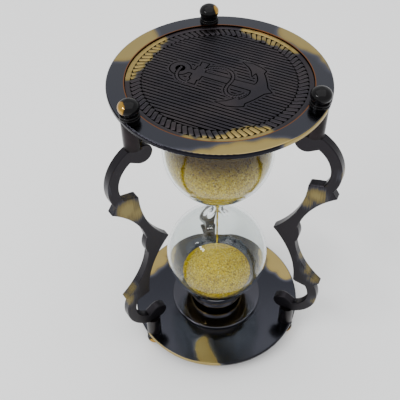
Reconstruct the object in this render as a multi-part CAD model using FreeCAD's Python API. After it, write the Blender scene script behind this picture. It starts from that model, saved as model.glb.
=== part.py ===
import FreeCAD, Part
import math
import os

# Sand timer: two round end plates tied by three cut-out brackets, with a blown glass between them.
# Frame: origin on the vertical axis, in the plane that the three ball feet stand on. +Z is up.
# The back bracket lies on +Y. Everything is in millimetres.

# End plates and the medallions let into their outer faces
plate_radius = 50.0
plate_thickness = 2.6
plate_gap = 162.2
plate_edge_round = 0.8
rim_width = 8.2
recess_depth = 1.7
medallion_thickness = 0.9
medallion_edge_round = 0.3

# Ball nuts, washers and studs
bolt_to_plate_edge = 4.2
stud_radius = 1.5
thread_pitch = 0.5
thread_depth = 0.25
stud_height_above_plate = 5.4
stud_depth_in_bracket = 6.5
washer_radius = 4.5
washer_thickness = 0.9
washer_edge_round = 0.22
nut_height = 7.4
nut_collar_radius = 4.3
nut_collar_height = 1.1
nut_collar_round = 0.36
nut_groove_radius = 3.5
nut_groove_height = 0.7
ball_radius = 4.7
ball_flat_radius = 1.3
nut_bore_spare = 0.5

# Spacers between plates and brackets
spacer_radius = 4.2
spacer_length = 13.7

# Brackets. Reaches go outwards from the bolt circle; drops go from the bracket's end to its middle
bracket_thickness = 4.6
bracket_edge_round = 0.35
tip_reach = -13.3
waist_reach = -0.8
waist_half_height = 6.0
waist_bump = 1.4
tab_reach = 1.2
tab_drop = 29.2
tab_slope_rise = 1.6
sweep_height_share = 0.46
sweep_bow_share = 0.89
corner_round = 1.6
scroll_inner_radius = 15.3
scroll_centre_reach = -4.8
scroll_centre_drop = 19.8
scroll_start_angle = 58.0
scroll_outer_reach = 15.4
point_reach = 15.7
point_drop = 33.6
point_face_rise = 3.6
point_face_depth = 2.4
outer_hollow_share = 0.39
lobe_radius = 5.0
lobe_centre_reach = -3.2

# Glass vessel, blown by hand, so its two bulbs differ a little.
# A bulb's radius is a share of the way from its pole to the middle of the vessel.
bulb_to_plate = 12.8
lower_bulb_share = 0.4217
upper_bulb_share = 0.4056
glass_wall = 1.2
neck_radius = 3.0
orifice_radius = 1.1
fill_hole_radius = 3.0
plug_length = 4.0

# Sockets that hold the bulbs, and the flanges under them
flange_radius = 27.0
flange_thickness = 1.5
flange_edge_round = 0.6
foot_radius = 12.5
foot_height = 3.5
step_radius = 15.8
step_height = 4.6
step_round = 0.9
cove_radius = 14.8
cup_lip = 0.9
cup_lower_height = 14.0
cup_rim_height = 18.6
cup_round = 0.5
pad_thickness = 0.6
pad_to_lip = 1.3
pad_hole_spare = 1.0
socket_screw_circle = 8.0
socket_screw_radius = 1.5
socket_screw_head_radius = 2.75
socket_screw_head_height = 1.3
socket_screw_length = 6.5

# Sand
sand_fill_height = 14.0
sand_crater_radius = 14.0
sand_crater_depth = 7.0
heap_contact_radius = 20.5
heap_height = 9.0
heap_bow_radius_share = 0.46
heap_bow_height_share = 0.62
stream_radius = 0.55

# Clearances, how far a cutter runs past a face, and how near counts as the same place
clearance = 0.05
sand_clearance = 0.1
overrun = 1.0
same_place = 1e-4

recess_radius = plate_radius - rim_width
bolt_circle_radius = plate_radius - bolt_to_plate_edge
foot_plane_to_plate = washer_thickness + nut_height
lower_inner_face = foot_plane_to_plate + plate_thickness
middle = lower_inner_face + plate_gap / 2
upper_inner_face = lower_inner_face + plate_gap
bulb_reach = plate_gap / 2 - bulb_to_plate
lower_bulb_radius = bulb_reach * lower_bulb_share
upper_bulb_radius = bulb_reach * upper_bulb_share
cup_bulb_depth = cup_rim_height - bulb_to_plate + pad_thickness
side_azimuths = {"back": 90.0, "left": 210.0, "right": 330.0}

origin = FreeCAD.Vector(0, 0, 0)
up = FreeCAD.Vector(0, 0, 1)


def place(radius, height):
    """A point of the profile plane: distance from the axis, and height."""
    return FreeCAD.Vector(radius, 0, height)


def line(start, end):
    return Part.LineSegment(start, end).toShape()


def arc(start, middle_point, end):
    return Part.Arc(start, middle_point, end).toShape()


def turned(edges):
    """A solid of revolution about Z from a closed set of profile edges."""
    wire = Part.Wire(Part.__sortEdges__(edges))
    solid = Part.Face(wire).revolve(origin, up, 360)
    return Part.makeSolid(solid) if solid.ShapeType == "Shell" else solid


def turned_polygon(points):
    corners = [place(radius, height) for radius, height in points]
    wire = Part.makePolygon(corners + corners[:1])
    return Part.Face(wire).revolve(origin, up, 360)


def cylinder(radius, low, high, x=0.0, y=0.0):
    return Part.makeCylinder(radius, high - low, FreeCAD.Vector(x, y, low))


def circle_edges(solid, radius, height):
    """The round edges of that radius at that height."""
    found = []
    for edge in solid.Edges:
        if edge.Degenerated or edge.Curve.TypeId != "Part::GeomCircle":
            continue
        curve = edge.Curve
        if abs(curve.Radius - radius) < same_place and abs(curve.Center.z - height) < same_place:
            found.append(edge)
    return found


def rounded(solid, rounding, *circles):
    """The solid with its round edges filleted; each circle is (radius, height)."""
    edges = []
    for radius, height in circles:
        edges += circle_edges(solid, radius, height)
    return solid.makeFillet(rounding, edges)


def on_side(solid, side):
    """A piece drawn on +X, turned to one of the three sides."""
    return solid.rotated(origin, up, side_azimuths[side])


def upside_down(solid):
    """A piece of the lower end, turned over about the middle to make the upper one."""
    return solid.rotated(FreeCAD.Vector(0, 0, middle), FreeCAD.Vector(0, 1, 0), 180)


def opposite_side(side):
    """Turning over about +Y swaps left and right."""
    return {"back": "back", "left": "right", "right": "left"}[side]


def screw_places():
    for side in side_azimuths:
        azimuth = math.radians(side_azimuths[side])
        yield socket_screw_circle * math.cos(azimuth), socket_screw_circle * math.sin(azimuth)


# The lower end is drawn; the upper end is the same set of pieces turned over.
recess_floor = foot_plane_to_plate + recess_depth
flange_top = lower_inner_face + flange_thickness
stud_end = foot_plane_to_plate - stud_height_above_plate
bracket_half_height = plate_gap / 2 - spacer_length
bracket_lower_end = middle - bracket_half_height


def make_plate():
    plate = cylinder(plate_radius, foot_plane_to_plate, lower_inner_face)
    plate = rounded(
        plate,
        plate_edge_round,
        (plate_radius, foot_plane_to_plate),
        (plate_radius, lower_inner_face),
    )
    plate = plate.cut(cylinder(recess_radius, foot_plane_to_plate - overrun, recess_floor))
    for side in side_azimuths:
        hole = cylinder(
            stud_radius + clearance,
            foot_plane_to_plate - overrun,
            lower_inner_face + overrun,
            x=bolt_circle_radius,
        )
        plate = plate.cut(on_side(hole, side))
    for screw in screw_solids(clearance):
        plate = plate.cut(screw)
    return plate


def make_medallion():
    low = recess_floor - medallion_thickness
    medallion = cylinder(recess_radius - clearance, low, recess_floor)
    return rounded(medallion, medallion_edge_round, (recess_radius - clearance, low))


def screw_solids(spare=0.0):
    """Countersunk screws from the recess floor up into the socket's foot."""
    low = recess_floor
    tip = low + socket_screw_length + spare
    screws = []
    for x, y in screw_places():
        head = Part.makeCone(
            socket_screw_head_radius + spare,
            socket_screw_radius + spare,
            socket_screw_head_height,
            FreeCAD.Vector(x, y, low),
        )
        shank = cylinder(socket_screw_radius + spare, low, tip, x, y)
        screws.append(head.fuse(shank).removeSplitter())
    return screws


def make_flange():
    flange = cylinder(flange_radius, lower_inner_face, flange_top)
    flange = rounded(flange, flange_edge_round, (flange_radius, flange_top))
    for screw in screw_solids(clearance):
        flange = flange.cut(screw)
    return flange


def lower_bulb_centre(bulb_radius):
    return FreeCAD.Vector(0, 0, lower_inner_face + bulb_to_plate + bulb_radius)


def seat_rim_radius(bulb_radius):
    """How wide a bulb's seat is where it meets the cup's rim."""
    seat_radius = bulb_radius + pad_thickness
    return math.sqrt(2 * seat_radius * cup_bulb_depth - cup_bulb_depth**2)


def make_socket(bulb_radius):
    """A turned socket, drawn at the lower end, with a seat for a bulb of that radius."""
    cup_radius = seat_rim_radius(lower_bulb_radius) + cup_lip
    foot_top = flange_top + foot_height
    step_top = foot_top + step_height
    cup_low = lower_inner_face + cup_lower_height
    cup_rim = lower_inner_face + cup_rim_height
    socket = turned_polygon(
        [
            (0, flange_top),
            (foot_radius, flange_top),
            (foot_radius, foot_top),
            (step_radius, foot_top),
            (step_radius, step_top),
            (cove_radius, step_top),
            (cove_radius, cup_low),
            (cup_radius, cup_low),
            (cup_radius, cup_rim),
            (0, cup_rim),
        ]
    )
    socket = rounded(socket, step_round, (step_radius, foot_top), (step_radius, step_top))
    seat = Part.makeSphere(bulb_radius + pad_thickness, lower_bulb_centre(bulb_radius))
    socket = socket.cut(seat)
    socket = rounded(socket, cup_round, (cup_radius, cup_low), (cup_radius, cup_rim))
    for screw in screw_solids(clearance):
        socket = socket.cut(screw)
    return socket


def make_pad(bulb_radius):
    """A cork ring between the cup and the bulb."""
    centre = lower_bulb_centre(bulb_radius)
    shell = Part.makeSphere(bulb_radius + pad_thickness - clearance, centre)
    shell = shell.cut(Part.makeSphere(bulb_radius + clearance, centre))
    rim = lower_inner_face + cup_rim_height
    shell = shell.common(cylinder(seat_rim_radius(bulb_radius) - pad_to_lip, lower_inner_face, rim))
    return shell.cut(cylinder(fill_hole_radius + pad_hole_spare, lower_inner_face, rim))


def make_washer():
    washer = cylinder(washer_radius, nut_height, foot_plane_to_plate)
    washer = rounded(
        washer,
        washer_edge_round,
        (washer_radius, nut_height),
        (washer_radius, foot_plane_to_plate),
    )
    return washer.cut(cylinder(stud_radius + clearance, 0, foot_plane_to_plate + overrun))


def make_ball_nut():
    """A ball on a grooved collar, with a blind bore; drawn on the axis, ball down."""
    collar_low = nut_height - nut_collar_height
    groove_low = collar_low - nut_groove_height
    ball_drop = math.sqrt(ball_radius**2 - ball_flat_radius**2)
    ball_rise = math.sqrt(ball_radius**2 - nut_groove_radius**2)
    squash = groove_low / (ball_drop + ball_rise)
    ball_centre = ball_drop * squash
    ball = Part.makeSphere(ball_radius)
    matrix = FreeCAD.Matrix()
    matrix.scale(1, 1, squash)
    ball = ball.transformGeometry(matrix).translated(FreeCAD.Vector(0, 0, ball_centre))
    ball = ball.common(cylinder(2 * ball_radius, 0, groove_low))
    groove = cylinder(nut_groove_radius, groove_low, collar_low)
    collar = cylinder(nut_collar_radius, collar_low, nut_height)
    collar = rounded(
        collar, nut_collar_round, (nut_collar_radius, collar_low), (nut_collar_radius, nut_height)
    )
    nut = ball.fuse([groove, collar]).removeSplitter()
    bore = cylinder(stud_radius + clearance, stud_end - nut_bore_spare, nut_height + overrun)
    return nut.cut(bore)


def make_stud():
    """A threaded stud from inside the ball nut to inside the bracket's end."""
    top = bracket_lower_end + stud_depth_in_bracket
    turns = int((top - stud_end) / thread_pitch) - 1
    margin = (top - stud_end - turns * thread_pitch) / 2
    root_radius = stud_radius - thread_depth
    points = [(0, stud_end), (root_radius, stud_end)]
    for turn in range(turns):
        low = stud_end + margin + turn * thread_pitch
        points.append((root_radius, low))
        points.append((stud_radius, low + thread_pitch / 2))
    points += [(root_radius, stud_end + margin + turns * thread_pitch), (root_radius, top), (0, top)]
    return turned_polygon(points)


def make_spacer():
    spacer = cylinder(spacer_radius, lower_inner_face, bracket_lower_end)
    bore = cylinder(
        stud_radius + clearance, lower_inner_face - overrun, bracket_lower_end + overrun
    )
    return spacer.cut(bore)


def tangent_point(centre, radius, outside):
    """Where the line from an outside point touches the underside of a circle."""
    away = outside.sub(centre)
    angle = math.atan2(away.z, away.x) - math.acos(radius / away.Length)
    return place(centre.x + radius * math.cos(angle), centre.z + radius * math.sin(angle))


def reach(outwards, drop):
    """A point of the bracket, from the bolt circle outwards and from its end down."""
    return place(bolt_circle_radius + outwards, bracket_half_height - drop)


def tab_corner():
    return reach(tab_reach, tab_drop)


def seat_end():
    return reach(spacer_radius, 0)


def waist_end():
    return place(bolt_circle_radius + waist_reach, waist_half_height)


def sweep_point(tip, tab):
    """Where the long inner sweep passes on its way from the tip to the tab."""
    bow = math.sqrt(1 - (1 - sweep_height_share) ** 2) * sweep_bow_share
    return place(tip.x + (tab.x - tip.x) * bow, tab.z * sweep_height_share)


def scroll_circle_point(centre, height):
    """The outer point of the scroll's inner circle at that height."""
    return place(centre.x + math.sqrt(scroll_inner_radius**2 - (height - centre.z) ** 2), height)


def bracket_half_edges():
    """The upper half of the outline, from the inner tip round to the outer waist."""
    tip = place(bolt_circle_radius + tip_reach, 0)
    tab = tab_corner()
    scroll_centre = reach(scroll_centre_reach, scroll_centre_drop)
    tab_end = scroll_circle_point(scroll_centre, tab.z + tab_slope_rise)
    start_angle = math.radians(scroll_start_angle)
    start_rise = scroll_inner_radius * math.sin(start_angle)
    scroll_start = scroll_circle_point(scroll_centre, scroll_centre.z + start_rise)
    scroll_side = scroll_circle_point(scroll_centre, scroll_centre.z)
    lobe_centre = reach(lobe_centre_reach, lobe_radius)
    lobe_under = tangent_point(lobe_centre, lobe_radius, scroll_start)
    lobe_end = place(lobe_centre.x - lobe_radius, lobe_centre.z)
    lobe_top = place(lobe_centre.x, bracket_half_height)
    seat = seat_end()
    point = reach(point_reach, point_drop)
    face_top = place(point.x - point_face_depth, point.z + point_face_rise)
    outer_side = place(bolt_circle_radius + scroll_outer_reach, (seat.z + face_top.z) / 2)
    waist = waist_end()
    hollow = place(
        waist.x + (point.x - waist.x) * outer_hollow_share,
        point.z + (waist.z - point.z) * outer_hollow_share,
    )
    return [
        arc(tip, sweep_point(tip, tab), tab),
        line(tab, tab_end),
        arc(tab_end, scroll_side, scroll_start),
        line(scroll_start, lobe_under),
        arc(lobe_under, lobe_end, lobe_top),
        line(lobe_top, seat),
        arc(seat, outer_side, face_top),
        line(face_top, point),
        arc(point, hollow, waist),
    ]


def make_bracket():
    """One cut plate, drawn in the XZ plane about the middle and then raised to it."""
    upper = bracket_half_edges()
    lower = [edge.mirror(origin, up) for edge in upper]
    waist_high = waist_end()
    waist_low = place(waist_high.x, -waist_high.z)
    bump = arc(waist_low, place(waist_high.x + waist_bump, 0), waist_high)
    outline = Part.Wire(Part.__sortEdges__(upper + lower + [bump]))
    face = Part.Face(outline)
    face.translate(FreeCAD.Vector(0, -bracket_thickness / 2, 0))
    bracket = face.extrude(FreeCAD.Vector(0, bracket_thickness, 0))
    corners = []
    for edge in bracket.Edges:
        low, high = edge.Vertexes[0].Point, edge.Vertexes[-1].Point
        across = abs(low.y - high.y) > bracket_thickness / 2
        for corner in (tab_corner(), seat_end()):
            near = math.hypot(low.x - corner.x, abs(low.z) - corner.z) < same_place
            if across and near:
                corners.append(edge)
    bracket = bracket.makeFillet(corner_round, corners)
    rims = []
    for edge in bracket.Edges:
        low, high = edge.Vertexes[0].Point, edge.Vertexes[-1].Point
        on_face = abs(abs(low.y) - bracket_thickness / 2) < same_place
        if on_face and abs(low.y - high.y) < same_place:
            rims.append(edge)
    bracket = bracket.makeChamfer(bracket_edge_round, rims)
    bore_end = bracket_half_height - stud_depth_in_bracket - clearance
    bore_start = bracket_half_height + overrun
    for low, high in ((bore_end, bore_start), (-bore_start, -bore_end)):
        bracket = bracket.cut(cylinder(stud_radius + clearance, low, high, x=bolt_circle_radius))
    return bracket.translated(FreeCAD.Vector(0, 0, middle))


def bulb_centre_height(bulb_radius):
    """How far from the middle a bulb's centre lies."""
    return bulb_reach - bulb_radius


def vessel_half_edges(bulb_radius, wall, neck):
    """Above the middle: from the pole down the bulb, and along a tangent flare to the neck."""
    skin = bulb_radius - wall
    centre = place(0, bulb_centre_height(bulb_radius))
    flare = (neck**2 + centre.z**2 - skin**2) / (2 * (skin - neck))
    flare_centre = place(neck + flare, 0)
    joint = centre.add(flare_centre.sub(centre).normalize().multiply(skin))
    half_turn = math.atan2(joint.z, flare_centre.x - joint.x) / 2
    flare_middle = place(flare_centre.x - flare * math.cos(half_turn), flare * math.sin(half_turn))
    pole = place(0, centre.z + skin)
    side = place(skin, centre.z)
    return [arc(pole, side, joint), arc(joint, flare_middle, place(neck, 0))]


def vessel_body(wall, neck):
    """The closed space inside one skin of the vessel: two bulbs and the neck."""
    upper = vessel_half_edges(upper_bulb_radius, wall, neck)
    lower = [edge.mirror(origin, up) for edge in vessel_half_edges(lower_bulb_radius, wall, neck)]
    pole = bulb_reach - wall
    body = turned(upper + lower + [line(place(0, pole), place(0, -pole))])
    return body.translated(FreeCAD.Vector(0, 0, middle))


def make_glass():
    glass = vessel_body(0, neck_radius).cut(vessel_body(glass_wall, orifice_radius))
    top = upper_inner_face - bulb_to_plate
    return glass.cut(cylinder(fill_hole_radius, top - 2 * glass_wall, top + overrun))


def make_fill_plug():
    """The cork in the filling hole at the upper end, its outer end level with the bulb."""
    top = upper_inner_face - bulb_to_plate
    inset = upper_bulb_radius - math.sqrt(upper_bulb_radius**2 - fill_hole_radius**2)
    return cylinder(fill_hole_radius - clearance, top - plug_length, top - inset)


def sand_space():
    return vessel_body(glass_wall + sand_clearance, orifice_radius - sand_clearance)


def make_upper_sand():
    """The upper bulb's sand, with the crater that forms as it runs out."""
    surface = middle + bulb_centre_height(upper_bulb_radius) + sand_fill_height
    filled = sand_space().common(cylinder(upper_bulb_radius, middle + clearance, surface))
    crater = Part.makeCone(
        0, sand_crater_radius, sand_crater_depth, FreeCAD.Vector(0, 0, surface - sand_crater_depth)
    )
    return filled.cut(crater)


def heap_edge_height():
    inner = lower_bulb_radius - glass_wall - sand_clearance
    drop = math.sqrt(inner**2 - heap_contact_radius**2)
    return lower_inner_face + bulb_to_plate + lower_bulb_radius - drop


def make_lower_sand():
    """The heap in the lower bulb: a round-topped cone on the bulb's bottom."""
    edge = heap_edge_height()
    filled = sand_space().common(cylinder(lower_bulb_radius, lower_inner_face, edge))
    peak = edge + heap_height
    bow = place(
        heap_contact_radius * heap_bow_radius_share, edge + heap_height * heap_bow_height_share
    )
    profile = [
        line(place(0, edge), place(heap_contact_radius, edge)),
        arc(place(heap_contact_radius, edge), bow, place(0, peak)),
        line(place(0, peak), place(0, edge)),
    ]
    return filled.fuse(turned(profile)).removeSplitter()


def make_sand_stream():
    low = heap_edge_height() + heap_height + clearance
    return cylinder(stream_radius, low, middle)


def upper_pose(solid, side):
    return upside_down(on_side(solid, opposite_side(side)))


def at_bolt_circle(solid):
    return solid.translated(FreeCAD.Vector(bolt_circle_radius, 0, 0))


nodes = {}

for name, solid in (
    ("plate", make_plate()),
    ("medallion", make_medallion()),
    ("flange", make_flange()),
    ("socket_screws", Part.makeCompound(screw_solids())),
):
    nodes["lower_" + name] = solid
    nodes["upper_" + name] = upside_down(solid)

nodes["lower_socket"] = make_socket(lower_bulb_radius)
nodes["upper_socket"] = upside_down(make_socket(upper_bulb_radius))
nodes["lower_cork_pad"] = make_pad(lower_bulb_radius)
nodes["upper_cork_pad"] = upside_down(make_pad(upper_bulb_radius))

for name, solid in (
    ("ball_nut", make_ball_nut()),
    ("washer", make_washer()),
    ("stud", make_stud()),
    ("spacer", make_spacer()),
):
    standing = at_bolt_circle(solid)
    for side in side_azimuths:
        nodes["lower_" + name + "_" + side] = on_side(standing, side)
        nodes["upper_" + name + "_" + side] = upper_pose(standing, side)

for side in side_azimuths:
    nodes["bracket_" + side] = on_side(make_bracket(), side)

nodes["glass_vessel"] = make_glass()
nodes["fill_plug"] = make_fill_plug()
nodes["upper_sand"] = make_upper_sand()
nodes["sand_stream"] = make_sand_stream()
nodes["lower_sand"] = make_lower_sand()

os.makedirs("parts", exist_ok=True)
for name, shape in nodes.items():
    shape.exportStep("parts/" + name + ".step")
    print(name, "solids", len(shape.Solids), "valid", shape.isValid(), "volume", round(shape.Volume, 1))
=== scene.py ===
import math
import random

import bmesh
import bpy
from mathutils import Matrix, Vector


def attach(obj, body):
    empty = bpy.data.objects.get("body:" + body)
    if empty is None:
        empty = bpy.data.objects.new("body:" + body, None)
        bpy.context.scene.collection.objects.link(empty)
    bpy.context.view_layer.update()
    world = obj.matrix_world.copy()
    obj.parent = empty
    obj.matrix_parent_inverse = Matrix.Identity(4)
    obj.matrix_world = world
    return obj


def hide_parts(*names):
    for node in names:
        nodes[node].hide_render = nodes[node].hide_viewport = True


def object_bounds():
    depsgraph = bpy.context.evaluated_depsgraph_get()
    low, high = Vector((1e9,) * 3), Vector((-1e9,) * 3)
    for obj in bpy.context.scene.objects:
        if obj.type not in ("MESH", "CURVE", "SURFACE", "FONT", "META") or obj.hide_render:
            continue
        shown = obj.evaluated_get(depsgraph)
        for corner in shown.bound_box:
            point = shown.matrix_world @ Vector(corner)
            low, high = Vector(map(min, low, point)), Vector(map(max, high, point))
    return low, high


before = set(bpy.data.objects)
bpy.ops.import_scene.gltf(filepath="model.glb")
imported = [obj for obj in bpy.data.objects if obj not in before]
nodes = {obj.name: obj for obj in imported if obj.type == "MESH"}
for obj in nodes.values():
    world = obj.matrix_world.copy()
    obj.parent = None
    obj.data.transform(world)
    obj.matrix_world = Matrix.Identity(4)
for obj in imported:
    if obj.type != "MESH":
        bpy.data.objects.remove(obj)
cadBox = [list(corner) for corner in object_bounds()]
mm = 0.001
sides = ("back", "left", "right")
ends = ("lower", "upper")
middle = (cadBox[0][2] + cadBox[1][2]) / 2
print("frame loaded,", len(nodes), "nodes")


# helpers for colour and materials

def hexColour(text):  # an sRGB hex value as the linear colour that a node wants
    values = [int(text[i:i + 2], 16) / 255 for i in (1, 3, 5)]
    linear = [v / 12.92 if v <= 0.04045 else ((v + 0.055) / 1.055) ** 2.4 for v in values]
    return (*linear, 1.0)


def addNode(tree, kind, settings=None, inputs=None):  # an input takes a value, a socket or a node
    node = tree.nodes.new("ShaderNode" + kind)
    for name, value in (settings or {}).items():
        if name == "stops":
            elements = node.color_ramp.elements
            while len(elements) < len(value):
                elements.new(0.5)
            for element, (position, colour) in zip(elements, value):
                element.position = position
                element.color = hexColour(colour)
        else:
            setattr(node, name, value)
    for name, value in (inputs or {}).items():
        if isinstance(value, bpy.types.Node):
            value = value.outputs[0]
        if isinstance(value, bpy.types.NodeSocket):
            tree.links.new(value, node.inputs[name])
        else:
            node.inputs[name].default_value = value
    return node


def startMaterial(name, sockets, colour="#FFFFFF"):
    material = bpy.data.materials.new(name)
    material.use_nodes = True
    tree = material.node_tree
    shader = tree.nodes["Principled BSDF"]
    shader.inputs["Base Color"].default_value = hexColour(colour)
    for socket, value in sockets.items():
        shader.inputs[socket].default_value = value
    place = addNode(tree, "TexCoord").outputs["Object"]
    return material, tree, shader, place


def feed(tree, shader, socket, node):
    tree.links.new(node.outputs[0], shader.inputs[socket])


def giveMaterial(piece, material):
    piece.data.materials.clear()
    piece.data.materials.append(material)


# helpers for modelling

def editAll():
    bpy.ops.object.mode_set(mode="EDIT")
    bpy.ops.mesh.select_all(action="SELECT")


def leaveEdit():
    bpy.ops.object.mode_set(mode="OBJECT")


def only(*pieces):
    bpy.ops.object.select_all(action="DESELECT")
    for piece in pieces:
        piece.select_set(True)
    bpy.context.view_layer.objects.active = pieces[0]


def applyModifier(piece, kind, settings):
    only(piece)
    modifier = piece.modifiers.new(kind.lower(), kind)
    for name, value in settings.items():
        setattr(modifier, name, value)
    bpy.ops.object.modifier_apply(modifier=modifier.name)


def cutWith(piece, cutter, operation="DIFFERENCE"):  # the cutter is used up
    applyModifier(piece, "BOOLEAN", {"object": cutter, "operation": operation, "solver": "EXACT"})
    bpy.data.objects.remove(cutter)


def joined(pieces, name):
    only(*pieces)
    bpy.ops.object.join()
    piece = bpy.context.object
    piece.name = name
    return piece


def copyOf(piece, name, matrix=None):
    twin = piece.copy()
    twin.data = piece.data.copy()
    twin.name = name
    bpy.context.scene.collection.objects.link(twin)
    if matrix:
        twin.data.transform(matrix)
    return twin


def turned(name, profile, steps=160):  # profile points are (radius, height) in mm, axis to axis
    bpy.ops.object.select_all(action="DESELECT")
    bpy.ops.mesh.primitive_circle_add(vertices=len(profile), fill_type="NOTHING")
    piece = bpy.context.object
    piece.name = name
    for vertex, (radius, height) in zip(piece.data.vertices, profile):
        vertex.co = (radius * mm, 0, height * mm)
    last = len(profile) - 1
    bpy.ops.object.mode_set(mode="EDIT")
    mesh = bmesh.from_edit_mesh(piece.data)
    bpy.ops.mesh.select_mode(type="EDGE")
    bpy.ops.mesh.select_all(action="DESELECT")
    for edge in mesh.edges:  # opens the circle where its ends meet on the axis
        edge.select_set({v.index for v in edge.verts} == {0, last})
    bpy.ops.mesh.delete(type="EDGE")
    leaveEdit()
    editAll()
    bpy.ops.mesh.spin(steps=steps, angle=2 * math.pi, center=(0, 0, 0), axis=(0, 0, 1))
    bpy.ops.mesh.select_all(action="SELECT")
    bpy.ops.mesh.remove_doubles(threshold=1e-6)
    bpy.ops.mesh.delete_loose()
    bpy.ops.mesh.select_all(action="SELECT")
    bpy.ops.mesh.normals_make_consistent(inside=False)
    leaveEdit()
    return piece


def arcPoints(centre, radius, start, end, count):  # a run of profile points, angles in degrees
    points = []
    for i in range(count + 1):
        angle = math.radians(start + (end - start) * i / count)
        points.append((centre[0] + radius * math.cos(angle), centre[1] + radius * math.sin(angle)))
    return points


def raisedPlate(name, outline, low, high):  # an outline in mm, filled and raised to a plate
    bpy.ops.object.select_all(action="DESELECT")
    bpy.ops.mesh.primitive_circle_add(vertices=len(outline), fill_type="NGON")
    plate = bpy.context.object
    plate.name = name
    for vertex, (x, y) in zip(plate.data.vertices, outline):
        vertex.co = (x * mm, y * mm, low * mm)
    editAll()
    bpy.ops.mesh.extrude_region_move(TRANSFORM_OT_translate={"value": (0, 0, (high - low) * mm)})
    bpy.ops.mesh.select_all(action="SELECT")
    bpy.ops.mesh.normals_make_consistent(inside=False)
    leaveEdit()
    return plate


def grown(outline, distance):  # the outline moved outwards; outlines run anticlockwise
    result = []
    count = len(outline)
    for i, point in enumerate(outline):
        before, after = outline[i - 1], outline[(i + 1) % count]
        first = Vector((point[1] - before[1], before[0] - point[0])).normalized()
        second = Vector((after[1] - point[1], point[0] - after[0])).normalized()
        away = (first + second).normalized()
        stretch = 1 / max(away.dot(first), 0.55)
        result.append((point[0] + away.x * distance * stretch, point[1] + away.y * distance * stretch))
    return result


def smoothFaces(piece, angle):
    only(piece)
    bpy.ops.object.shade_smooth_by_angle(angle=math.radians(angle))


turnOver = Matrix.Translation((0, 0, middle)) @ Matrix.Rotation(math.pi, 4, "Y")
turnOver = turnOver @ Matrix.Translation((0, 0, -middle))

# camera, floor and light

cameraSetup = {
    "place": (-27.2 * mm, -227.9 * mm, 345.79 * mm),
    "heading": -4.485,      # degrees from +Y, negative towards +X
    "tilt": 47.414,         # degrees below the horizon
    "roll": -0.83,
    "lens": 57.53,
    "sensor": 36.0,
}
studio = {
    "floorSize": 6.0,
    "floorColour": "#F7F7F6",
    "worldColour": "#EDEEF0",
    "worldStrength": 1.25,
    "lights": {  # place, aim, size in metres, power in watts, colour
        "overheadBox": ((0.0, 0.0, 1.6), (0, 0, 0), (2.0, 2.0), 16, "#FFFFFF"),
        "leftStrip": ((-0.75, -0.35, 0.85), (0, 0, 0.1), (0.5, 0.12), 5, "#FFFFFF"),
    },
}


def makeCamera(setup):
    data = bpy.data.cameras.new("camera")
    data.lens = setup["lens"]
    data.sensor_width = setup["sensor"]
    data.clip_start = 0.01
    data.clip_end = 20.0
    camera = bpy.data.objects.new("camera", data)
    bpy.context.scene.collection.objects.link(camera)
    look = Matrix.Rotation(math.radians(setup["heading"]), 3, "Z")
    look = look @ Matrix.Rotation(math.radians(90 - setup["tilt"]), 3, "X")
    look = look @ Matrix.Rotation(math.radians(setup["roll"]), 3, "Z")
    camera.location = setup["place"]
    camera.rotation_euler = look.to_euler()
    bpy.context.scene.camera = camera


def makeLight(name, place, aim, size, power, colour):
    data = bpy.data.lights.new(name, "AREA")
    data.shape = "RECTANGLE"
    data.size, data.size_y = size
    data.energy = power
    data.color = hexColour(colour)[:3]
    light = bpy.data.objects.new(name, data)
    bpy.context.scene.collection.objects.link(light)
    light.location = place
    light.rotation_euler = (Vector(aim) - Vector(place)).to_track_quat("-Z", "Y").to_euler()


def makeStudio(setup):
    bpy.ops.object.select_all(action="DESELECT")
    bpy.ops.mesh.primitive_plane_add(size=setup["floorSize"])
    floor = bpy.context.object
    floor.name = "floor"
    # matt seamless paper, with no sheen
    material = startMaterial("seamlessPaper", {"Roughness": 0.95}, setup["floorColour"])[0]
    giveMaterial(floor, material)
    world = bpy.data.worlds.new("studioWorld")
    world.use_nodes = True
    background = world.node_tree.nodes["Background"]
    background.inputs["Color"].default_value = hexColour(setup["worldColour"])
    background.inputs["Strength"].default_value = setup["worldStrength"]
    bpy.context.scene.world = world
    for name, values in setup["lights"].items():
        makeLight(name, *values)


makeCamera(cameraSetup)
makeStudio(studio)
print("camera and studio ready")


# burnt patches: where the dark plating was heated or rubbed back to gold

def patchField(tree, place, spots, warp):  # mm inside the nearest spot's edge, below 0 outside it
    drift = addNode(tree, "TexNoise", {}, {
        "Vector": place, "Scale": 1 / (warp["size"] * mm), "Detail": 1.0, "Roughness": 0.4})
    offset = addNode(tree, "VectorMath", {"operation": "MULTIPLY_ADD"}, {
        0: drift.outputs["Color"], 1: (warp["depth"] * mm * 2,) * 3, 2: (-warp["depth"] * mm,) * 3})
    moved = addNode(tree, "VectorMath", {"operation": "ADD"}, {0: place, 1: offset})
    field = None
    for x, y, z, radius in spots:
        away = addNode(tree, "VectorMath", {"operation": "DISTANCE"}, {
            0: moved, 1: (x * mm, y * mm, z * mm)})
        inside = addNode(tree, "Math", {"operation": "MULTIPLY_ADD"}, {
            0: away.outputs["Value"], 1: -1 / mm, 2: radius})
        field = inside if field is None else addNode(tree, "Math", {"operation": "SMOOTH_MAX"}, {
            0: field, 1: inside, 2: warp["blend"]})
    return field


def onRim(height, *places):  # each place is azimuth in degrees, radius and size in mm
    spots = []
    for azimuth, radius, size in places:
        angle = math.radians(azimuth)
        spots.append((radius * math.cos(angle), radius * math.sin(angle), height, size))
    return spots


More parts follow.
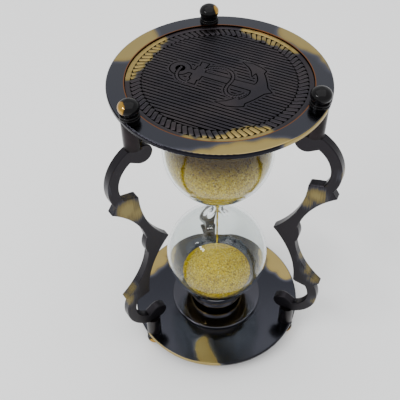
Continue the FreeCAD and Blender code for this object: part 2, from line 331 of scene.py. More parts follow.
burntPlate = {
    # painted shade: the lower plate's face is darker than the upper's, and the side edges darker than
    # the faces
    "faceDark": {"upper": "#404147", "lower": "#33343A"},
    "edgePaintedShade": "#1E1D22",
    "stops": [(0.3, "#4E4F58"), (0.55, "#786D51"), (0.75, "#93804E"), (1.0, "#9A8855")],
    "warp": {"size": 14, "depth": 2.6, "blend": 2.5},
    "edge": (-3.2, 2.6),
    "lipRadius": 41.95, "lipWidth": 0.22, "lipColour": "#7A4E30",
    "plateLevel": 82.4,        # mm from the timer's middle to the middle of a plate
    "flatFrom": (1.15, 1.28),  # mm from there, where the edge gives way to a flat face
    "outerFrom": 83.4,         # mm from the timer's middle, past which a face is an outer one
    "spots": onRim(175.7, (142, 57, 18.5), (37, 53, 10.5), (29, 53, 9.5), (20, 54, 8.3), (11, 55, 7.2),
                   (3, 55.5, 6.6), (293, 54, 6.8), (285, 53, 9.0), (275, 53, 10.2), (266, 53.5, 9.0),
                   (257, 54.5, 7.2), (248, 55.5, 6.0))
    + onRim(10.9, (24, 46, 7.5), (33, 48, 6.0), (14, 48, 6.0), (142, 47, 7.5), (131, 48, 5.5),
            (151, 47, 5.5), (251, 37, 3.6), (253, 41, 4.6), (256, 45.5, 5.2), (259, 50, 5.6)),
    "edgeSpots": onRim(174.4, (300, 50, 5), (308, 50, 5), (316, 50, 5), (324, 50, 4))
    + onRim(9.6, (214, 50, 4), (222, 50, 5), (230, 50, 5), (238, 50, 5), (246, 50, 5), (254, 50, 5),
            (262, 50, 5)),
}


def makeBurntPlate(look, end):
    # Black-nickelled bronze, polished: a dark mirror with gold burnt patches, each with a soft
    # blue-grey edge; painted shade darkens its side edge, and the lower plate's face
    material, tree, shader, place = startMaterial(end + "BlackNickelBronze", {"Metallic": 1.0})
    parts = addNode(tree, "SeparateXYZ", {}, {"Vector": place})
    height = addNode(tree, "Math", {"operation": "SUBTRACT"}, {0: parts.outputs["Z"], 1: middle})
    level = addNode(tree, "Math", {"operation": "ABSOLUTE"}, {0: height})
    fromEdge = addNode(tree, "Math", {"operation": "SUBTRACT"}, {0: level, 1: look["plateLevel"] * mm})
    rise = addNode(tree, "Math", {"operation": "ABSOLUTE"}, {0: fromEdge})
    flat = addNode(tree, "MapRange", {}, {
        "Value": rise, "From Min": look["flatFrom"][0] * mm, "From Max": look["flatFrom"][1] * mm})
    faceField = patchField(tree, place, look["spots"], look["warp"])
    edgeField = patchField(tree, place, look["edgeSpots"], look["warp"])
    field = addNode(tree, "Mix", {}, {0: flat, 2: edgeField, 3: faceField})
    mask = addNode(tree, "MapRange", {"interpolation_type": "SMOOTHSTEP"}, {
        "Value": field, "From Min": look["edge"][0], "From Max": look["edge"][1]})
    # painted shade: each face starts from its plate's dark colour, the lower one painted darker, and the
    # side edge from a darker one still
    faceStops = [(0.0, look["faceDark"][end])] + look["stops"]
    shadedEdgeStops = [(0.0, look["edgePaintedShade"])] + look["stops"]
    face = addNode(tree, "ValToRGB", {"stops": faceStops}, {"Fac": mask})
    edge = addNode(tree, "ValToRGB", {"stops": shadedEdgeStops}, {"Fac": mask})
    burnt = addNode(tree, "Mix", {"data_type": "RGBA"}, {0: flat, 6: edge, 7: face}).outputs[2]
    # the recess's lip is rubbed to copper in a line under half a millimetre wide
    flattened = addNode(tree, "VectorMath", {"operation": "MULTIPLY"}, {0: place, 1: (1, 1, 0)})
    radius = addNode(tree, "VectorMath", {"operation": "LENGTH"}, {0: flattened})
    onLip = addNode(tree, "Math", {"operation": "COMPARE"}, {
        0: radius.outputs["Value"], 1: look["lipRadius"] * mm, 2: look["lipWidth"] * mm})
    outer = addNode(tree, "Math", {"operation": "GREATER_THAN"}, {0: level, 1: look["outerFrom"] * mm})
    lip = addNode(tree, "Math", {"operation": "MULTIPLY"}, {0: onLip, 1: outer})
    colour = addNode(tree, "Mix", {"data_type": "RGBA"}, {
        0: lip, 6: burnt, 7: hexColour(look["lipColour"])})
    tree.links.new(colour.outputs[2], shader.inputs["Base Color"])
    rough = addNode(tree, "MapRange", {}, {"Value": mask, "To Min": 0.17, "To Max": 0.33})
    feed(tree, shader, "Roughness", rough)
    # a faint unevenness 0.4 mm across, left by polishing, coarser than the real one so that it shows
    uneven = addNode(tree, "TexNoise", {}, {"Vector": place, "Scale": 2500.0, "Detail": 2.0})
    feed(tree, shader, "Normal", addNode(tree, "Bump", {}, {
        "Height": uneven, "Strength": 0.03, "Distance": 0.2 * mm}))
    return material


for end in ends:
    giveMaterial(nodes[end + "_plate"], makeBurntPlate(burntPlate, end))
print("plates finished")

# brackets

burntBracket = {
    "stops": [(0.0, "#2A282B"), (0.3, "#3B3B41"), (0.55, "#5F563D"), (0.8, "#6C603F"), (1.0, "#7C7049")],
    "warp": {"size": 9, "depth": 1.6, "blend": 2.0},
    "edge": (-2.4, 4.4),
    "spots": [
        (-46.5, -27, 124.5, 7.5), (-43, -25, 119.5, 6), (-56, -32.5, 143, 4.0),
        (-47.5, -27, 73, 3.5), (-50, -30, 64, 4.5), (-52.5, -31.9, 56, 5.5),
        (44.5, -26, 124, 6), (41, -24, 118, 4.5),
        (54.5, -31, 142, 3.5),
        (43.5, -24, 74, 3.5), (47, -26.5, 66, 3.8), (50.5, -30, 60, 3.5), (52.8, -31.9, 42, 3.5),
        (1, 53, 125, 6), (1, 46, 118, 4.5), (1, 60, 60, 5), (1, 52, 68, 4.5),
    ],
}


def makeBurntBracket(look):
    # Browned brass plate, brushed upright: fine strokes, satin, rubbed to gold on its cross-pieces
    material, tree, shader, place = startMaterial("brownedBrushedBrass", {
        "Metallic": 1.0, "Roughness": 0.34})
    strokes = addNode(tree, "Mapping", {}, {"Vector": place, "Scale": (1.0, 1.0, 0.05)})
    brush = addNode(tree, "TexNoise", {}, {
        "Vector": strokes, "Scale": 1900.0, "Detail": 3.0, "Roughness": 0.6})
    field = patchField(tree, place, look["spots"], look["warp"])
    rubbed = addNode(tree, "Math", {"operation": "MULTIPLY_ADD"}, {0: brush, 1: 6.0, 2: -3.0})
    mixed = addNode(tree, "Math", {"operation": "ADD"}, {0: field, 1: rubbed})
    mask = addNode(tree, "MapRange", {"interpolation_type": "SMOOTHSTEP"}, {
        "Value": mixed, "From Min": look["edge"][0], "From Max": look["edge"][1]})
    feed(tree, shader, "Base Color", addNode(tree, "ValToRGB", {"stops": look["stops"]}, {"Fac": mask}))
    feed(tree, shader, "Normal", addNode(tree, "Bump", {}, {
        "Height": brush, "Strength": 0.12, "Distance": 0.3 * mm}))
    return material


bracketMaterial = makeBurntBracket(burntBracket)
for side in sides:
    giveMaterial(nodes["bracket_" + side], bracketMaterial)
print("brackets finished")

# ball nuts, washers, spacers, studs

nutLook = {
    "stops": [(0.0, "#0B0A0B"), (0.35, "#3A2A12"), (0.6, "#7C5C22"), (1.0, "#A98540")],
    "warp": {"size": 4, "depth": 0.7, "blend": 1.0},
    "edge": (-0.2, 0.7),
    "spots": [
        (-43.9, -24.6, 181.5, 3.4), (4.6, 44.5, 182, 3.2), (43.8, -26.4, 183.2, 1.2),
        (-41, -27, 3, 2.5), (42, -26, 2.5, 2.5), (-3.5, 48, 3.5, 3),
    ],
}


def makeNutMaterial(look):
    # Turned brass under glossy black lacquer, with one burnt gold cheek: sharp small highlights;
    # its IOR is below the real 1.5, which would turn the black grey in a pale studio
    material, tree, shader, place = startMaterial("blackLacqueredBrass", {
        "Roughness": 0.08, "IOR": 1.24})
    field = patchField(tree, place, look["spots"], look["warp"])
    mask = addNode(tree, "MapRange", {"interpolation_type": "SMOOTHSTEP"}, {
        "Value": field, "From Min": look["edge"][0], "From Max": look["edge"][1]})
    feed(tree, shader, "Base Color", addNode(tree, "ValToRGB", {"stops": look["stops"]}, {"Fac": mask}))
    feed(tree, shader, "Metallic", mask)
    return material


def makeSpacerMaterial():
    # Drawn brass tube, browned and waxed: dark brown with long soft highlights
    material, tree, shader, place = startMaterial("brownedBrassTube", {
        "Metallic": 0.85, "Roughness": 0.3})
    stain = addNode(tree, "TexNoise", {}, {"Vector": place, "Scale": 180.0, "Detail": 4.0})
    feed(tree, shader, "Base Color", addNode(tree, "ValToRGB", {
        "stops": [(0.35, "#141111"), (0.7, "#241D20")]}, {"Fac": stain}))
    return material


def makeStudMaterial():
    # Cut steel thread, bare: grey with dull stains
    material, tree, shader, place = startMaterial("bareSteelThread", {
        "Metallic": 1.0, "Roughness": 0.32})
    grime = addNode(tree, "TexNoise", {}, {"Vector": place, "Scale": 900.0, "Detail": 3.0})
    feed(tree, shader, "Base Color", addNode(tree, "ValToRGB", {
        "stops": [(0.3, "#6E6C68"), (0.7, "#A9A7A1")]}, {"Fac": grime}))
    return material


nutMaterial = makeNutMaterial(nutLook)
spacerMaterial = makeSpacerMaterial()
studMaterial = makeStudMaterial()
for end in ends:
    giveMaterial(nodes[end + "_socket_screws"], studMaterial)
    for side in sides:
        giveMaterial(nodes[end + "_ball_nut_" + side], nutMaterial)
        giveMaterial(nodes[end + "_washer_" + side], nutMaterial)
        giveMaterial(nodes[end + "_spacer_" + side], spacerMaterial)
        giveMaterial(nodes[end + "_stud_" + side], studMaterial)
print("fasteners finished")

# sockets, flanges and cork

socketLook = {
    "dark": {"socket": "#A2A3AA", "flange": "#46464C"},
    "stops": [(0.5, "#C2A45C"), (1.0, "#F0D080")],
    "plateFace": 81.1,                        # mm from the timer's middle
    "wornLevels": [(14.4, 0.5), (5.6, 0.5)],  # mm from the plate, and half the line's width
}


def makeSocketMaterial(look, part):
    # Turned and mirror-polished black nickel, worn to brass on its sharp rings
    material, tree, shader, place = startMaterial(part + "MirrorBlackNickel", {
        "Metallic": 1.0, "Roughness": 0.12})
    parts = addNode(tree, "SeparateXYZ", {}, {"Vector": place})
    height = addNode(tree, "Math", {"operation": "SUBTRACT"}, {0: parts.outputs["Z"], 1: middle})
    fromMiddle = addNode(tree, "Math", {"operation": "ABSOLUTE"}, {0: height})
    fromPlate = addNode(tree, "Math", {"operation": "MULTIPLY_ADD"}, {
        0: fromMiddle, 1: -1 / mm, 2: look["plateFace"]})
    worn = None
    for level, width in look["wornLevels"]:
        line = addNode(tree, "Math", {"operation": "COMPARE"}, {0: fromPlate, 1: level, 2: width})
        worn = line if worn is None else addNode(tree, "Math", {"operation": "MAXIMUM"}, {
            0: worn, 1: line})
    patchy = addNode(tree, "TexNoise", {}, {"Vector": place, "Scale": 120.0, "Detail": 3.0})
    gaps = addNode(tree, "MapRange", {}, {"Value": patchy, "From Min": 0.3, "From Max": 0.5})
    broken = addNode(tree, "Math", {"operation": "MULTIPLY"}, {0: worn, 1: gaps})
    stops = [(0.0, look["dark"][part])] + look["stops"]
    feed(tree, shader, "Base Color", addNode(tree, "ValToRGB", {"stops": stops}, {"Fac": broken}))
    return material


def makeCorkMaterial():
    # Pressed cork: matt tan with darker crumbs about 0.8 mm across
    material, tree, shader, place = startMaterial("pressedCork", {"Roughness": 0.85})
    crumbs = addNode(tree, "TexVoronoi", {}, {"Vector": place, "Scale": 1250.0})
    feed(tree, shader, "Base Color", addNode(tree, "ValToRGB", {
        "stops": [(0.1, "#8E6A43"), (0.7, "#C29C6C")]}, {"Fac": crumbs}))
    return material


socketMaterial = makeSocketMaterial(socketLook, "socket")
flangeMaterial = makeSocketMaterial(socketLook, "flange")
corkMaterial = makeCorkMaterial()
for end in ends:
    giveMaterial(nodes[end + "_socket"], socketMaterial)
    giveMaterial(nodes[end + "_flange"], flangeMaterial)
    giveMaterial(nodes[end + "_cork_pad"], corkMaterial)
giveMaterial(nodes["fill_plug"], corkMaterial)
print("sockets finished")

# medallions

medallion = {
    "floor": 174.05, "field": 174.35, "top": 174.9, "rim": 175.0,
    "outerRadius": 41.7, "lipRadius": 39.3, "borderRadius": 34.4, "fieldRadius": 34.2,
    "strokeCount": 88, "strokeLength": 5.3, "strokeWidth": 2.1, "strokeSlant": 27,
    "ribPitch": 1.88, "ribWidth": 1.3, "ribAngle": -30.4,
    "groove": 0.5, "halo": 1.35,
    "warp": {"size": 9, "depth": 1.4, "blend": 2.0},
    "spots": onRim(175, (171, 40, 3.4), (161, 39.5, 4.6), (149, 39.5, 5.2), (137, 40, 4.6),
                   (127, 41, 3.4), (64, 40.5, 3.0), (54, 39.5, 4.2), (44, 39.5, 4.2),
                   (34, 40.5, 3.6), (26, 41.5, 2.6), (292, 40, 3.2), (283, 38.5, 4.8),
                   (274, 39, 4.6), (265, 40.5, 3.6), (255, 41.5, 3.0), (246, 42, 2.6)),
}
anchor = {  # drawn along +X, its middle at the medallion's centre, in mm
    "shift": -19.1, "angle": -30.0,
    "ringRadius": 4.6, "eyeRadius": 2.3,
    "shank": [(3.9, -1.2), (36.0, -2.2), (38.5, 0), (36.0, 2.2), (3.9, 1.2)],
    "stock": [(7.2, -8.0), (10.6, -8.0), (10.2, -5.0), (11.2, -4.4), (11.2, 4.4), (10.2, 5.0),
              (10.6, 8.0), (7.2, 8.0), (7.6, 5.0), (6.7, 4.4), (6.7, -4.4), (7.6, -5.0)],
    "armSide": [(43.4, 0.0), (40.9, 2.0), (39.7, 4.4), (38.4, 7.0), (36.8, 9.7), (35.6, 11.4),
                (35.9, 13.4), (32.9, 14.9), (29.0, 16.0), (24.2, 15.4), (27.9, 13.2), (29.9, 11.0),
                (31.6, 7.6), (32.4, 10.4), (34.2, 8.0), (35.2, 5.6), (35.3, 3.6), (34.6, 1.6)],
    "ropeOverShank": [(10.6, 3.4), (12.6, 5.9), (15.6, 7.6), (19.2, 7.7), (22.4, 6.2), (24.2, 3.4),
                      (24.6, 0.2), (24.2, -3.0), (24.6, -6.2), (26.6, -8.6), (29.6, -9.0),
                      (32.2, -7.2), (33.8, -4.4)],
    "ropeAtRing": [(0.0, 1.0), (-0.2, -1.6), (0.4, -4.8), (2.6, -7.4), (5.6, -8.4), (7.4, -8.0)],
    "beadSpacing": 1.25, "beadLength": 0.95, "beadWidth": 0.6, "ropeWidth": 1.0,
}


def ringOutline(radius, count=40):
    return arcPoints((0, 0), radius, 0, 360 - 360 / count, count - 1)


def armsOutline(shapes):
    upper = shapes["armSide"]
    return upper + [(x, -y) for x, y in reversed(upper[1:])]


def alongRope(points, spacing):  # evenly spaced places on a smooth line through the points
    fine = []
    last = len(points) - 1
    for i in range(last):
        p = [Vector(points[min(max(k, 0), last)]) for k in (i - 1, i, i + 1, i + 2)]
        for step in range(12):
            t = step / 12
            square = (2 * p[0] - 5 * p[1] + 4 * p[2] - p[3]) * t ** 2
            cube = (3 * p[1] - p[0] - 3 * p[2] + p[3]) * t ** 3
            fine.append(0.5 * (2 * p[1] + (p[2] - p[0]) * t + square + cube))
    fine.append(Vector(points[-1]))
    places, left = [], 0.0
    for a, b in zip(fine, fine[1:]):
        length = (b - a).length
        while left <= length:
            places.append((a.lerp(b, left / length), math.atan2(b.y - a.y, b.x - a.x)))
            left += spacing
        left -= length
    return places


def band(points, width):  # the outline of a strip that follows a rope, anticlockwise
    places = alongRope(points, 1.5)
    right = [(p.x + width * math.sin(a), p.y - width * math.cos(a)) for p, a in places]
    left = [(p.x - width * math.sin(a), p.y + width * math.cos(a)) for p, a in places]
    return right + left[::-1]


def anchorPlates(shapes, grow, low, high, name):  # the whole anchor as one plate, grown by a distance
    outlines = [ringOutline(shapes["ringRadius"] + grow), grown(shapes["shank"], grow),
                grown(shapes["stock"], grow), grown(armsOutline(shapes), grow)]
    plates = [raisedPlate(name, outline, low, high) for outline in outlines]
    whole = plates[0]
    for plate in plates[1:]:
        cutWith(whole, plate, "UNION")
    return whole


def makeRibs(setup):
    bars = []
    count = int(setup["fieldRadius"] / setup["ribPitch"])
    for i in range(-count, count + 1):
        offset = i * setup["ribPitch"]
        half = math.sqrt(setup["fieldRadius"] ** 2 - offset ** 2) + 0.6
        bpy.ops.object.select_all(action="DESELECT")
        bpy.ops.mesh.primitive_cube_add(size=1, location=(0, offset * mm, 0))
        bar = bpy.context.object
        height = setup["top"] - setup["floor"]
        bar.scale = (2 * half * mm, setup["ribWidth"] * mm, height * mm)
        bar.location.z = (setup["top"] + setup["floor"]) / 2 * mm
        bars.append(bar)
    ribs = joined(bars, "ribs")
    bpy.ops.object.transform_apply(location=True, rotation=True, scale=True)
    applyModifier(ribs, "BEVEL", {"width": 0.22 * mm, "segments": 2, "limit_method": "ANGLE"})
    edge = ringOutline(setup["fieldRadius"], 128)
    field = raisedPlate("fieldDisc", edge, setup["floor"] - 1, setup["top"] + 1)
    cutWith(ribs, field, "INTERSECT")
    return ribs


def makeBorder(setup):  # slanted strokes like a laid rope, one modelled and copied round
    bpy.ops.object.select_all(action="DESELECT")
    bpy.ops.mesh.primitive_cube_add(size=1)
    stroke = bpy.context.object
    height = setup["rim"] - setup["floor"]
    stroke.scale = (setup["strokeLength"] * mm, setup["strokeWidth"] * mm, height * mm)
    bpy.ops.object.transform_apply(location=True, rotation=True, scale=True)
    applyModifier(stroke, "BEVEL", {"width": 0.5 * mm, "segments": 2, "limit_method": "ANGLE"})
    centre = (setup["lipRadius"] + setup["borderRadius"]) / 2 * mm
    middleHeight = (setup["rim"] + setup["floor"]) / 2 * mm
    slant = Matrix.Rotation(math.radians(setup["strokeSlant"]), 4, "Z")
    strokes = []
    for i in range(setup["strokeCount"]):
        spot = Matrix.Rotation(2 * math.pi * i / setup["strokeCount"], 4, "Z")
        spot = spot @ Matrix.Translation((centre, 0, middleHeight)) @ slant
        strokes.append(copyOf(stroke, "stroke", spot))
    bpy.data.objects.remove(stroke)
    return joined(strokes, "border")


def makeBeads(shapes, top):
    bpy.ops.object.select_all(action="DESELECT")
    bpy.ops.mesh.primitive_uv_sphere_add(segments=10, ring_count=6, radius=1)
    bead = bpy.context.object
    bead.scale = (shapes["beadLength"] * mm, shapes["beadWidth"] * mm, 0.3 * mm)
    bpy.ops.object.transform_apply(location=True, rotation=True, scale=True)
    beads = []
    for path in ("ropeOverShank", "ropeAtRing"):
        for point, angle in alongRope(shapes[path], shapes["beadSpacing"]):
            spot = Matrix.Translation((point.x * mm, point.y * mm, top * mm))
            spot = spot @ Matrix.Rotation(angle + 0.6, 4, "Z")
            beads.append(copyOf(bead, "bead", spot))
    bpy.data.objects.remove(bead)
    return joined(beads, "beads")


def makeMedallion(setup, shapes):
    body = turned("body", [
        (0, setup["floor"]), (setup["outerRadius"], setup["floor"]),
        (setup["outerRadius"], setup["rim"] - 0.25), (setup["outerRadius"] - 0.25, setup["rim"]),
        (setup["lipRadius"] + 0.35, setup["rim"]), (setup["lipRadius"] + 0.1, setup["rim"] - 0.15),
        (setup["lipRadius"], setup["field"]), (0, setup["field"])], steps=192)
    ribs = makeRibs(setup)
    lay = Matrix.Rotation(math.radians(shapes["angle"]), 4, "Z")
    lay = lay @ Matrix.Translation((shapes["shift"] * mm, 0, 0))
    ribs.data.transform(Matrix.Rotation(math.radians(setup["ribAngle"]), 4, "Z"))
    low, top = setup["floor"], setup["top"]
    halo = anchorPlates(shapes, setup["halo"], low, top + 0.02, "halo")
    ropes = [shapes["ropeOverShank"], shapes["ropeAtRing"]]
    for rope in ropes:
        edge = raisedPlate("ropeHalo", band(rope, shapes["ropeWidth"] + 0.9), low, top + 0.02)
        cutWith(halo, edge, "UNION")
    clear = copyOf(halo, "clear", lay)
    groove = anchorPlates(shapes, setup["groove"], setup["field"], top + 1, "groove")
    for rope in ropes:
        slit = raisedPlate("ropeGroove", band(rope, shapes["ropeWidth"]), setup["field"], top + 1)
        cutWith(groove, slit, "UNION")
    cutWith(halo, groove)
    metal = anchorPlates(shapes, 0, low, top + 0.08, "metal")
    eye = raisedPlate("eye", ringOutline(shapes["eyeRadius"]), setup["field"], top + 1)
    cutWith(metal, eye)
    for rope in ropes:
        bed = raisedPlate("ropeBed", band(rope, shapes["ropeWidth"]), setup["field"] + 0.1, top + 1)
        cutWith(metal, bed)
    beads = makeBeads(shapes, top - 0.08)
    for piece in (halo, metal, beads):
        piece.data.transform(lay)
    cutWith(ribs, clear)
    border = makeBorder(setup)
    whole = joined([body, ribs, border, halo, metal, beads], "upperMedallion")
    smoothFaces(whole, 35)
    return whole


def makeMedallionMaterial(setup):
    # Struck bronze, blackened: warm dark grey on the raised work, near black in its grooves,
    # gold at the burnt edge
    material, tree, shader, place = startMaterial("struckBlackenedBronze", {
        "Metallic": 1.0, "Roughness": 0.36})
    parts = addNode(tree, "SeparateXYZ", {}, {"Vector": place})
    height = addNode(tree, "Math", {"operation": "SUBTRACT"}, {0: parts.outputs["Z"], 1: middle})
    fromMiddle = addNode(tree, "Math", {"operation": "ABSOLUTE"}, {0: height})
    topLevel = setup["top"] * mm - middle
    raised = addNode(tree, "MapRange", {"interpolation_type": "SMOOTHSTEP"}, {
        "Value": fromMiddle, "From Min": topLevel - 0.35 * mm, "From Max": topLevel - 0.03 * mm})
    field = patchField(tree, place, setup["spots"], setup["warp"])
    mask = addNode(tree, "MapRange", {"interpolation_type": "SMOOTHSTEP"}, {
        "Value": field, "From Min": -2.0, "From Max": 1.6})
    stain = addNode(tree, "TexNoise", {}, {"Vector": place, "Scale": 60.0, "Detail": 4.0})
    plain = addNode(tree, "ValToRGB", {
        "stops": [(0.35, "#2D2B30"), (0.65, "#393436")]}, {"Fac": stain})
    gilt = addNode(tree, "ValToRGB", {
        "stops": [(0.0, "#323035"), (0.35, "#4B4844"), (0.65, "#7C6C3C"), (1.0, "#93804E")]},
        {"Fac": mask})
    blend = addNode(tree, "MapRange", {}, {"Value": mask, "From Max": 0.25})
    top = addNode(tree, "Mix", {"data_type": "RGBA"}, {0: blend, 6: plain, 7: gilt})
    colour = addNode(tree, "Mix", {"data_type": "RGBA"}, {
        0: raised, 6: hexColour("#0B0A0B"), 7: top.outputs[2]})
    tree.links.new(colour.outputs[2], shader.inputs["Base Color"])
    grain = addNode(tree, "TexNoise", {}, {"Vector": place, "Scale": 2600.0, "Detail": 2.0})
    feed(tree, shader, "Normal", addNode(tree, "Bump", {}, {
        "Height": grain, "Strength": 0.12, "Distance": 0.2 * mm}))
    return material


medallionMaterial = makeMedallionMaterial(medallion)
upperMedallion = makeMedallion(medallion, anchor)
giveMaterial(upperMedallion, medallionMaterial)
lowerMedallion = copyOf(upperMedallion, "lowerMedallion", turnOver)
for end, piece in (("upper", upperMedallion), ("lower", lowerMedallion)):
    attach(piece, "root")
    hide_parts(end + "_medallion")
print("medallions finished,", len(upperMedallion.data.polygons), "faces each")

# glass

vessel = {
    "lowerRadius": 28.8, "upperRadius": 27.7, "reach": 68.3, "wall": 1.2,
    "neckRadius": 3.0, "boreRadius": 1.1, "holeRadius": 3.0, "steps": 40,
}


def bulbProfile(setup, radius, inset, neck, start):  # from near the pole to the neck, above the middle
    skin = radius - inset
    centre = setup["reach"] - radius
    flare = (neck ** 2 + centre ** 2 - skin ** 2) / (2 * (skin - neck))
    tangent = math.degrees(math.atan2(-centre, neck + flare))
    points = arcPoints((0, centre), skin, start, tangent, setup["steps"])
    join = math.degrees(math.atan2(centre, -(neck + flare)))
    points += arcPoints((neck + flare, 0), flare, join, 180, setup["steps"] // 2)[1:]
    return points


def makeGlass(setup):
    half = middle / mm
    startAngle = math.degrees(math.acos(setup["holeRadius"] / setup["upperRadius"]))
    innerStart = math.degrees(math.acos(setup["holeRadius"] / (setup["upperRadius"] - setup["wall"])))
    outerUp = bulbProfile(setup, setup["upperRadius"], 0, setup["neckRadius"], startAngle)
    outerDown = bulbProfile(setup, setup["lowerRadius"], 0, setup["neckRadius"], 90)
    innerUp = bulbProfile(setup, setup["upperRadius"], setup["wall"], setup["boreRadius"], innerStart)
    innerDown = bulbProfile(setup, setup["lowerRadius"], setup["wall"], setup["boreRadius"], 90)
    outer = [(r, half - z) for r, z in outerDown] + [(r, half + z) for r, z in reversed(outerUp[:-1])]
    inner = [(r, half + z) for r, z in innerUp] + [(r, half - z) for r, z in reversed(innerDown[:-1])]
    glass = turned("glassVessel", outer + inner, steps=192)
    smoothFaces(glass, 50)
    return glass


def makeGlassMaterial():
    # Blown soda-lime glass, clear with a faint green-blue body, seen most at its edges; its IOR is
    # below the real 1.5 so that the pale studio's reflections don't grey the sand
    material, tree, shader, place = startMaterial("blownSodaGlass", {
        "Roughness": 0.0, "IOR": 1.36, "Transmission Weight": 1.0}, "#EFF4F4")
    ripple = addNode(tree, "TexNoise", {}, {"Vector": place, "Scale": 45.0, "Detail": 1.0})
    feed(tree, shader, "Normal", addNode(tree, "Bump", {}, {
        "Height": ripple, "Strength": 0.05, "Distance": 1 * mm}))
    return material


glassVessel = makeGlass(vessel)
giveMaterial(glassVessel, makeGlassMaterial())
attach(glassVessel, "root")
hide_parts("glass_vessel")
print("glass finished")

# sand

sand = {
    "gap": 0.04, "fillHeight": 14.0, "craterRadius": 14.0, "craterDepth": 7.0,
    "contactRadius": 20.5, "heapHeight": 9.0, "streamRadius": 0.5,
    "grains": 2000.0,        # to the metre, so 0.5 mm each
    "paintedShadeFrom": (130, 146),  # mm above the ground, where the painted shade starts and where it is darkest
    "paintedShadeShare": 0.95, "paintedShadeColour": "#5E4A22",
}


def makeSandMaterial(setup):
    # Dry quartz sand dyed gold: 0.35 mm grains, drawn at 0.5 mm so that they show, some dark and
    # some pale; painted shade darkens the upper bulb's sand towards its top
    material, tree, shader, place = startMaterial("dryGoldenSand", {
        "Roughness": 0.9, "Specular IOR Level": 0.2})
    grains = addNode(tree, "TexVoronoi", {}, {
        "Vector": place, "Scale": setup["grains"], "Randomness": 1.0})
    shades = addNode(tree, "SeparateColor", {}, {"Color": grains.outputs["Color"]})
    stops = [(0.0, "#5E4600"), (0.15, "#B08C00"), (0.5, "#E0BE00"), (0.85, "#EACB00"), (1.0, "#FFF080")]
    grainColour = addNode(tree, "ValToRGB", {"stops": stops}, {"Fac": shades})
    drift = addNode(tree, "TexNoise", {}, {"Vector": place, "Scale": 90.0, "Detail": 3.0})
    shade = addNode(tree, "ValToRGB", {"stops": [(0.35, "#C9B27A"), (0.65, "#FFFFFF")]}, {"Fac": drift})
    colour = addNode(tree, "Mix", {"data_type": "RGBA", "blend_type": "MULTIPLY"}, {
        0: 0.3, 6: grainColour, 7: shade})
    # painted shade: the upper bulb's sand is painted darker towards its top, under the socket and plate
    parts = addNode(tree, "SeparateXYZ", {}, {"Vector": place})
    dark = addNode(tree, "MapRange", {"interpolation_type": "SMOOTHSTEP"}, {
        "Value": parts.outputs["Z"], "From Min": setup["paintedShadeFrom"][0] * mm,
        "From Max": setup["paintedShadeFrom"][1] * mm, "To Max": setup["paintedShadeShare"]})
    shadedSand = addNode(tree, "Mix", {"data_type": "RGBA", "blend_type": "MULTIPLY"}, {
        0: dark, 6: colour.outputs[2], 7: hexColour(setup["paintedShadeColour"])})
    tree.links.new(shadedSand.outputs[2], shader.inputs["Base Color"])
    feed(tree, shader, "Normal", addNode(tree, "Bump", {}, {
        "Height": grains, "Strength": 0.6, "Distance": 0.3 * mm}))
    return material


def roughen(piece, depth, seed, keep):  # moves vertices along their normals by a smooth random amount
    source = random.Random(seed)
    waves = []
    for _ in range(9):
        direction = Vector([source.uniform(-1, 1) for _ in range(3)])
        waves.append((direction * 900, source.uniform(0, 6.28)))
    normals = [v.normal.copy() for v in piece.data.vertices]
    for vertex, normal in zip(piece.data.vertices, normals):
        if keep(vertex.co):
            push = sum(math.sin(vertex.co.dot(wave) + phase) for wave, phase in waves) / len(waves)
            vertex.co += normal * push * depth * mm


def makeLowerSand(setup, shell):
    half = middle / mm
    inner = shell["lowerRadius"] - shell["wall"] - setup["gap"]
    centre = half - (shell["reach"] - shell["lowerRadius"])
    drop = math.sqrt(inner ** 2 - setup["contactRadius"] ** 2)
    edgeAngle = -math.degrees(math.atan2(drop, setup["contactRadius"]))
    profile = arcPoints((0, centre), inner, -90, edgeAngle, 24)
    edge = centre - drop
    for i in range(1, 61):
        share = i / 60
        radius = setup["contactRadius"] * (1 - share)
        # an even slope with a soft foot and a rounded peak
        rise = setup["heapHeight"] * (0.5 - 0.5 * math.cos(math.pi * share)) ** 0.92
        profile.append((radius, edge + rise))
    heap = turned("lowerSand", profile, steps=160)
    roughen(heap, 0.12, 3, lambda p: p.z > (edge + 0.3) * mm)
    smoothFaces(heap, 60)
    return heap


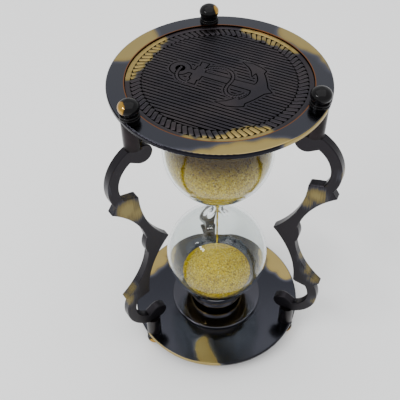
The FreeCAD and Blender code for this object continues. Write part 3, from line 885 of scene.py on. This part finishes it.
def makeUpperSand(setup, shell):
    half = middle / mm
    inner = shell["upperRadius"] - shell["wall"] - setup["gap"]
    centre = shell["reach"] - shell["upperRadius"]
    surface = centre + setup["fillHeight"]
    startAngle = math.degrees(math.asin(setup["fillHeight"] / inner))
    neck = shell["boreRadius"] - setup["gap"]
    flare = (neck ** 2 + centre ** 2 - inner ** 2) / (2 * (inner - neck))
    tangent = math.degrees(math.atan2(-centre, neck + flare))
    outer = arcPoints((0, centre), inner, startAngle, tangent, 48)
    join = math.degrees(math.atan2(centre, -(neck + flare)))
    outer += arcPoints((neck + flare, 0), flare, join, 179.5, 24)[1:]
    profile = [(0, half + 0.2)] + [(r, half + z) for r, z in reversed(outer)]
    edgeRadius = outer[0][0]
    for i in range(1, 49):
        share = i / 48
        radius = edgeRadius * (1 - share)
        dip = max(0.0, 1 - radius / setup["craterRadius"])
        profile.append((radius, half + surface - setup["craterDepth"] * dip))
    body = turned("upperSand", profile, steps=160)
    roughen(body, 0.12, 5, lambda p: p.z > (half + surface - 8) * mm and math.hypot(p.x, p.y) < 0.022)
    smoothFaces(body, 60)
    return body


def makeStream(setup, low):
    half = middle / mm
    bpy.ops.object.select_all(action="DESELECT")
    bpy.ops.mesh.primitive_cylinder_add(vertices=14, radius=setup["streamRadius"] * mm,
                                        depth=(half - low) * mm, location=(0, 0, (half + low) / 2 * mm))
    stream = bpy.context.object
    stream.name = "sandStream"
    bpy.ops.object.transform_apply(location=True, rotation=True, scale=True)
    bpy.ops.object.mode_set(mode="EDIT")
    mesh = bmesh.from_edit_mesh(stream.data)
    bpy.ops.mesh.select_mode(type="EDGE")
    bpy.ops.mesh.select_all(action="DESELECT")
    for edge in mesh.edges:
        a, b = edge.verts
        edge.select_set(abs(a.co.z - b.co.z) > 1 * mm)
    bpy.ops.mesh.subdivide(number_cuts=60)
    leaveEdit()
    source = random.Random(11)
    phases = [source.uniform(0, 6.28) for _ in range(4)]
    for vertex in stream.data.vertices:
        fall = (half - vertex.co.z / mm) / (half - low)
        sway = 0.32 * fall * math.sin(fall * 9 + phases[0]) + 0.1 * math.sin(fall * 31 + phases[1])
        thin = 1.0 - 0.25 * fall + 0.14 * math.sin(fall * 47 + phases[2])
        vertex.co.x = vertex.co.x * thin + sway * fall * mm
        vertex.co.y = vertex.co.y * thin + 0.1 * fall * math.sin(fall * 7 + phases[3]) * mm
    smoothFaces(stream, 60)
    return stream


sandMaterial = makeSandMaterial(sand)
lowerSand = makeLowerSand(sand, vessel)
upperSand = makeUpperSand(sand, vessel)
heapTop = max(v.co.z for v in lowerSand.data.vertices) / mm
sandStream = makeStream(sand, heapTop - 0.3)
for piece, node in ((lowerSand, "lower_sand"), (upperSand, "upper_sand"), (sandStream, "sand_stream")):
    giveMaterial(piece, sandMaterial)
    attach(piece, "root")
    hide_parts(node)
print("sand finished")
